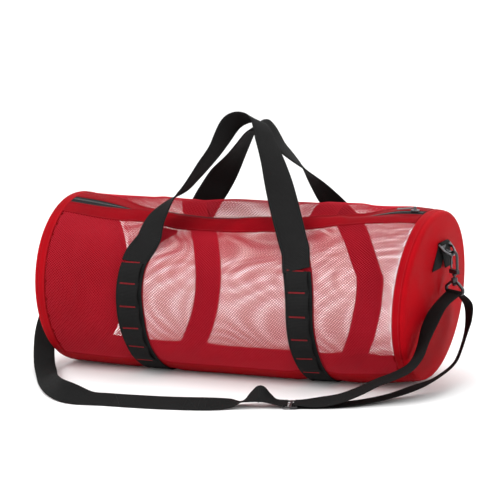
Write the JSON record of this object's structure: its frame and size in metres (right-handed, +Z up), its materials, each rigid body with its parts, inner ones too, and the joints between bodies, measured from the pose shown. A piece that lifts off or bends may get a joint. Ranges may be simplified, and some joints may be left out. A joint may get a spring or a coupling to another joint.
{
  "type": "mesh dive gear bag",
  "caption": "Round mesh duffel bag with solid end and base panels, a zip along the top, webbing carrying handles with gear loops and a shoulder strap on swivel hooks.",
  "frame": {"origin": "middle of the bag's length on the flat underside of its base, where it rests on the floor", "axes": "+X along the bag towards the end with the zip slider, -Y out of the front with the gear loops, +Z up"},
  "size_m": [0.8022, 0.4789, 0.4636],
  "materials": {
    "net": "woven diamond mesh",
    "panel": "coated cloth",
    "band": "coated cloth tape",
    "webbing": "woven webbing",
    "zip": "zip tape",
    "plastic": "moulded",
    "metal": "dark coated"
  },
  "bodies": {
    "bag": {"net_front": "net", "net_back": "net", "base_panel": "panel", "zip_band_front": "panel", "zip_band_back": "panel", "zip_tape": "zip", "zip_slider": "metal", "handle_front": "webbing", "handle_rear": "webbing", "shoulder_strap": "webbing", "shoulder_strap_loop": "webbing", "strap_slider": "plastic", "end_panel_left": "panel", "end_binding_left": "panel", "webbing_left": "webbing", "inner_band_left": "band", "gear_loops_left": "webbing", "strap_anchor_left": "webbing", "d_ring_left": "metal", "hook_body_left": "plastic", "hook_eye_left": "plastic", "end_panel_right": "panel", "end_binding_right": "panel", "webbing_right": "webbing", "inner_band_right": "band", "gear_loops_right": "webbing", "strap_anchor_right": "webbing", "d_ring_right": "metal", "hook_body_right": "plastic", "hook_eye_right": "plastic"},
    "pull": {"zip_pull": "metal"},
    "gate_left": {"hook_gate_left": "metal"},
    "gate_right": {"hook_gate_right": "metal"}
  },
  "joints": [
    {"name": "zip_pull_hinge", "type": "hinge", "parent": "bag", "child": "pull", "pos_m": [0.3224, -0.0197, 0.30439], "axis": [-0.1159, 0.9876, 0.1061], "range_deg": [0, 150]},
    {"name": "gate_left_hinge", "type": "hinge", "parent": "bag", "child": "gate_left", "pos_m": [-0.3688, 0.00535, 0.20001], "axis": [0.6691, -0.7431, 0], "range_deg": [0, 25], "stiffness_Nm_per_rad": 0.02, "springref_deg": -17.19},
    {"name": "gate_right_hinge", "type": "hinge", "parent": "bag", "child": "gate_right", "pos_m": [0.37617, 0.00424, 0.20001], "axis": [0.5299, 0.848, 0], "range_deg": [0, 25], "stiffness_Nm_per_rad": 0.02, "springref_deg": -17.19}
  ]
}
